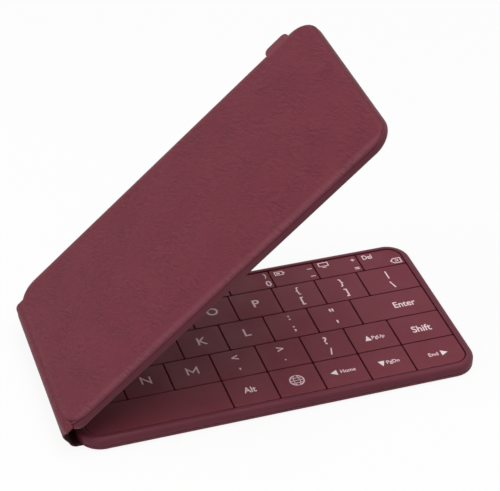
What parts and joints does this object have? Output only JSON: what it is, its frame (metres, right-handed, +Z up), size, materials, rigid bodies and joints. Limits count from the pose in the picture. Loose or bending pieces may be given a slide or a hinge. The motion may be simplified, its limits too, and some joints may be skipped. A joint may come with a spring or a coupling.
{
  "type": "folding keyboard",
  "caption": "Pocket keyboard whose flat, leather-covered halves fold shut on a flexible leather spine, with scissor keys set in rimmed trays.",
  "frame": {"origin": "centre of the right half's underside, on the table", "axes": "+X from the fold to the right half's free end, +Y from the front edge with the space bar to the back edge with the number keys, +Z up"},
  "size_m": [0.1567, 0.08, 0.1144],
  "materials": {
    "leather": "soft padded leather with a fine wrinkle grain, satin",
    "frame_plastic": "satin moulded plastic",
    "key_plastic": "fine matte, soft touch",
    "steel_plate": "plain rolled sheet",
    "membrane_film": "printed polyester film, dark red",
    "switch_rubber": "silicone rubber",
    "circuit_board": "solder mask",
    "battery_foil": "laminated pouch foil",
    "magnet_steel": "nickel plated",
    "contact_metal": "gold plated",
    "flex_film": "polyimide film"
  },
  "bodies": {
    "base": {"base_cover": "leather", "base_frame": "frame_plastic", "base_support_plate": "steel_plate", "base_membrane": "membrane_film", "base_key_switches": "switch_rubber", "main_board": "circuit_board", "battery": "battery_foil", "base_magnets": "magnet_steel", "charge_contacts": "contact_metal"},
    "key_6": {"key_6": "key_plastic"},
    "key_7": {"key_7": "key_plastic"},
    "key_8": {"key_8": "key_plastic"},
    "key_9": {"key_9": "key_plastic"},
    "key_0": {"key_0": "key_plastic"},
    "key_minus": {"key_minus": "key_plastic"},
    "key_equals": {"key_equals": "key_plastic"},
    "key_delete": {"key_delete": "key_plastic"},
    "key_y": {"key_y": "key_plastic"},
    "key_u": {"key_u": "key_plastic"},
    "key_i": {"key_i": "key_plastic"},
    "key_o": {"key_o": "key_plastic"},
    "key_p": {"key_p": "key_plastic"},
    "key_bracket_left": {"key_bracket_left": "key_plastic"},
    "key_bracket_right": {"key_bracket_right": "key_plastic"},
    "key_backslash": {"key_backslash": "key_plastic"},
    "key_h": {"key_h": "key_plastic"},
    "key_j": {"key_j": "key_plastic"},
    "key_k": {"key_k": "key_plastic"},
    "key_l": {"key_l": "key_plastic"},
    "key_semicolon": {"key_semicolon": "key_plastic"},
    "key_quote": {"key_quote": "key_plastic"},
    "key_enter": {"key_enter": "key_plastic"},
    "key_b": {"key_b": "key_plastic"},
    "key_n": {"key_n": "key_plastic"},
    "key_m": {"key_m": "key_plastic"},
    "key_comma": {"key_comma": "key_plastic"},
    "key_period": {"key_period": "key_plastic"},
    "key_slash": {"key_slash": "key_plastic"},
    "key_up": {"key_up": "key_plastic"},
    "key_shift": {"key_shift": "key_plastic"},
    "key_space": {"key_space": "key_plastic"},
    "key_alt": {"key_alt": "key_plastic"},
    "key_globe": {"key_globe": "key_plastic"},
    "key_left": {"key_left": "key_plastic"},
    "key_down": {"key_down": "key_plastic"},
    "key_right": {"key_right": "key_plastic"},
    "spine": {"spine_leather": "leather", "flex_cable": "flex_film"},
    "lid": {"lid_cover": "leather", "lid_frame": "frame_plastic", "lid_support_plate": "steel_plate", "lid_membrane": "membrane_film", "lid_key_switches": "switch_rubber", "lid_magnets": "magnet_steel", "pull_tab": "leather"},
    "left_number_row_keys": {"left_number_row_keys": "key_plastic"},
    "left_top_row_keys": {"left_top_row_keys": "key_plastic"},
    "left_home_row_keys": {"left_home_row_keys": "key_plastic"},
    "left_bottom_row_keys": {"left_bottom_row_keys": "key_plastic"},
    "left_space_row_keys": {"left_space_row_keys": "key_plastic"}
  },
  "joints": [
    {"name": "fold_base", "type": "hinge", "parent": "base", "child": "spine", "pos_m": [-0.0774, 0, 0.00075], "axis": [0, -1, 0], "range_deg": [-21.61, 68.75], "deforming": ["spine_leather", "flex_cable"]},
    {"name": "fold_lid", "type": "hinge", "parent": "spine", "child": "lid", "pos_m": [-0.0815, 0, 0.01128], "axis": [0, -1, 0], "range_deg": [-21.61, 68.75]},
    {"name": "press_6", "type": "slide", "parent": "base", "child": "key_6", "axis": [0, 0, -1], "range_m": [0, 0.0007], "stiffness_N_per_m": 400, "springref_m": -0.0005, "deforming": ["base_key_switches"]},
    {"name": "press_7", "type": "slide", "parent": "base", "child": "key_7", "axis": [0, 0, -1], "range_m": [0, 0.0007], "stiffness_N_per_m": 400, "springref_m": -0.0005, "deforming": ["base_key_switches"]},
    {"name": "press_8", "type": "slide", "parent": "base", "child": "key_8", "axis": [0, 0, -1], "range_m": [0, 0.0007], "stiffness_N_per_m": 400, "springref_m": -0.0005, "deforming": ["base_key_switches"]},
    {"name": "press_9", "type": "slide", "parent": "base", "child": "key_9", "axis": [0, 0, -1], "range_m": [0, 0.0007], "stiffness_N_per_m": 400, "springref_m": -0.0005, "deforming": ["base_key_switches"]},
    {"name": "press_0", "type": "slide", "parent": "base", "child": "key_0", "axis": [0, 0, -1], "range_m": [0, 0.0007], "stiffness_N_per_m": 400, "springref_m": -0.0005, "deforming": ["base_key_switches"]},
    {"name": "press_minus", "type": "slide", "parent": "base", "child": "key_minus", "axis": [0, 0, -1], "range_m": [0, 0.0007], "stiffness_N_per_m": 400, "springref_m": -0.0005, "deforming": ["base_key_switches"]},
    {"name": "press_equals", "type": "slide", "parent": "base", "child": "key_equals", "axis": [0, 0, -1], "range_m": [0, 0.0007], "stiffness_N_per_m": 400, "springref_m": -0.0005, "deforming": ["base_key_switches"]},
    {"name": "press_delete", "type": "slide", "parent": "base", "child": "key_delete", "axis": [0, 0, -1], "range_m": [0, 0.0007], "stiffness_N_per_m": 400, "springref_m": -0.0005, "deforming": ["base_key_switches"]},
    {"name": "press_y", "type": "slide", "parent": "base", "child": "key_y", "axis": [0, 0, -1], "range_m": [0, 0.0007], "stiffness_N_per_m": 400, "springref_m": -0.0005, "deforming": ["base_key_switches"]},
    {"name": "press_u", "type": "slide", "parent": "base", "child": "key_u", "axis": [0, 0, -1], "range_m": [0, 0.0007], "stiffness_N_per_m": 400, "springref_m": -0.0005, "deforming": ["base_key_switches"]},
    {"name": "press_i", "type": "slide", "parent": "base", "child": "key_i", "axis": [0, 0, -1], "range_m": [0, 0.0007], "stiffness_N_per_m": 400, "springref_m": -0.0005, "deforming": ["base_key_switches"]},
    {"name": "press_o", "type": "slide", "parent": "base", "child": "key_o", "axis": [0, 0, -1], "range_m": [0, 0.0007], "stiffness_N_per_m": 400, "springref_m": -0.0005, "deforming": ["base_key_switches"]},
    {"name": "press_p", "type": "slide", "parent": "base", "child": "key_p", "axis": [0, 0, -1], "range_m": [0, 0.0007], "stiffness_N_per_m": 400, "springref_m": -0.0005, "deforming": ["base_key_switches"]},
    {"name": "press_bracket_left", "type": "slide", "parent": "base", "child": "key_bracket_left", "axis": [0, 0, -1], "range_m": [0, 0.0007], "stiffness_N_per_m": 400, "springref_m": -0.0005, "deforming": ["base_key_switches"]},
    {"name": "press_bracket_right", "type": "slide", "parent": "base", "child": "key_bracket_right", "axis": [0, 0, -1], "range_m": [0, 0.0007], "stiffness_N_per_m": 400, "springref_m": -0.0005, "deforming": ["base_key_switches"]},
    {"name": "press_backslash", "type": "slide", "parent": "base", "child": "key_backslash", "axis": [0, 0, -1], "range_m": [0, 0.0007], "stiffness_N_per_m": 400, "springref_m": -0.0005, "deforming": ["base_key_switches"]},
    {"name": "press_h", "type": "slide", "parent": "base", "child": "key_h", "axis": [0, 0, -1], "range_m": [0, 0.0007], "stiffness_N_per_m": 400, "springref_m": -0.0005, "deforming": ["base_key_switches"]},
    {"name": "press_j", "type": "slide", "parent": "base", "child": "key_j", "axis": [0, 0, -1], "range_m": [0, 0.0007], "stiffness_N_per_m": 400, "springref_m": -0.0005, "deforming": ["base_key_switches"]},
    {"name": "press_k", "type": "slide", "parent": "base", "child": "key_k", "axis": [0, 0, -1], "range_m": [0, 0.0007], "stiffness_N_per_m": 400, "springref_m": -0.0005, "deforming": ["base_key_switches"]},
    {"name": "press_l", "type": "slide", "parent": "base", "child": "key_l", "axis": [0, 0, -1], "range_m": [0, 0.0007], "stiffness_N_per_m": 400, "springref_m": -0.0005, "deforming": ["base_key_switches"]},
    {"name": "press_semicolon", "type": "slide", "parent": "base", "child": "key_semicolon", "axis": [0, 0, -1], "range_m": [0, 0.0007], "stiffness_N_per_m": 400, "springref_m": -0.0005, "deforming": ["base_key_switches"]},
    {"name": "press_quote", "type": "slide", "parent": "base", "child": "key_quote", "axis": [0, 0, -1], "range_m": [0, 0.0007], "stiffness_N_per_m": 400, "springref_m": -0.0005, "deforming": ["base_key_switches"]},
    {"name": "press_enter", "type": "slide", "parent": "base", "child": "key_enter", "axis": [0, 0, -1], "range_m": [0, 0.0007], "stiffness_N_per_m": 400, "springref_m": -0.0005, "deforming": ["base_key_switches"]},
    {"name": "press_b", "type": "slide", "parent": "base", "child": "key_b", "axis": [0, 0, -1], "range_m": [0, 0.0007], "stiffness_N_per_m": 400, "springref_m": -0.0005, "deforming": ["base_key_switches"]},
    {"name": "press_n", "type": "slide", "parent": "base", "child": "key_n", "axis": [0, 0, -1], "range_m": [0, 0.0007], "stiffness_N_per_m": 400, "springref_m": -0.0005, "deforming": ["base_key_switches"]},
    {"name": "press_m", "type": "slide", "parent": "base", "child": "key_m", "axis": [0, 0, -1], "range_m": [0, 0.0007], "stiffness_N_per_m": 400, "springref_m": -0.0005, "deforming": ["base_key_switches"]},
    {"name": "press_comma", "type": "slide", "parent": "base", "child": "key_comma", "axis": [0, 0, -1], "range_m": [0, 0.0007], "stiffness_N_per_m": 400, "springref_m": -0.0005, "deforming": ["base_key_switches"]},
    {"name": "press_period", "type": "slide", "parent": "base", "child": "key_period", "axis": [0, 0, -1], "range_m": [0, 0.0007], "stiffness_N_per_m": 400, "springref_m": -0.0005, "deforming": ["base_key_switches"]},
    {"name": "press_slash", "type": "slide", "parent": "base", "child": "key_slash", "axis": [0, 0, -1], "range_m": [0, 0.0007], "stiffness_N_per_m": 400, "springref_m": -0.0005, "deforming": ["base_key_switches"]},
    {"name": "press_up", "type": "slide", "parent": "base", "child": "key_up", "axis": [0, 0, -1], "range_m": [0, 0.0007], "stiffness_N_per_m": 400, "springref_m": -0.0005, "deforming": ["base_key_switches"]},
    {"name": "press_shift", "type": "slide", "parent": "base", "child": "key_shift", "axis": [0, 0, -1], "range_m": [0, 0.0007], "stiffness_N_per_m": 400, "springref_m": -0.0005, "deforming": ["base_key_switches"]},
    {"name": "press_space", "type": "slide", "parent": "base", "child": "key_space", "axis": [0, 0, -1], "range_m": [0, 0.0007], "stiffness_N_per_m": 400, "springref_m": -0.0005, "deforming": ["base_key_switches"]},
    {"name": "press_alt", "type": "slide", "parent": "base", "child": "key_alt", "axis": [0, 0, -1], "range_m": [0, 0.0007], "stiffness_N_per_m": 400, "springref_m": -0.0005, "deforming": ["base_key_switches"]},
    {"name": "press_globe", "type": "slide", "parent": "base", "child": "key_globe", "axis": [0, 0, -1], "range_m": [0, 0.0007], "stiffness_N_per_m": 400, "springref_m": -0.0005, "deforming": ["base_key_switches"]},
    {"name": "press_left", "type": "slide", "parent": "base", "child": "key_left", "axis": [0, 0, -1], "range_m": [0, 0.0007], "stiffness_N_per_m": 400, "springref_m": -0.0005, "deforming": ["base_key_switches"]},
    {"name": "press_down", "type": "slide", "parent": "base", "child": "key_down", "axis": [0, 0, -1], "range_m": [0, 0.0007], "stiffness_N_per_m": 400, "springref_m": -0.0005, "deforming": ["base_key_switches"]},
    {"name": "press_right", "type": "slide", "parent": "base", "child": "key_right", "axis": [0, 0, -1], "range_m": [0, 0.0007], "stiffness_N_per_m": 400, "springref_m": -0.0005, "deforming": ["base_key_switches"]},
    {"name": "press_left_number_row", "type": "slide", "parent": "lid", "child": "left_number_row_keys", "axis": [-0.6756, 0, 0.7373], "range_m": [0, 0.0007], "stiffness_N_per_m": 2800, "springref_m": -0.0005, "deforming": ["lid_key_switches"]},
    {"name": "press_left_top_row", "type": "slide", "parent": "lid", "child": "left_top_row_keys", "axis": [-0.6756, 0, 0.7373], "range_m": [0, 0.0007], "stiffness_N_per_m": 2400, "springref_m": -0.0005, "deforming": ["lid_key_switches"]},
    {"name": "press_left_home_row", "type": "slide", "parent": "lid", "child": "left_home_row_keys", "axis": [-0.6756, 0, 0.7373], "range_m": [0, 0.0007], "stiffness_N_per_m": 2400, "springref_m": -0.0005, "deforming": ["lid_key_switches"]},
    {"name": "press_left_bottom_row", "type": "slide", "parent": "lid", "child": "left_bottom_row_keys", "axis": [-0.6756, 0, 0.7373], "range_m": [0, 0.0007], "stiffness_N_per_m": 2000, "springref_m": -0.0005, "deforming": ["lid_key_switches"]},
    {"name": "press_left_space_row", "type": "slide", "parent": "lid", "child": "left_space_row_keys", "axis": [-0.6756, 0, 0.7373], "range_m": [0, 0.0007], "stiffness_N_per_m": 2000, "springref_m": -0.0005, "deforming": ["lid_key_switches"]}
  ],
  "couplings": [
    {"joint": "fold_lid", "follows": "fold_base", "ratio": 1}
  ]
}
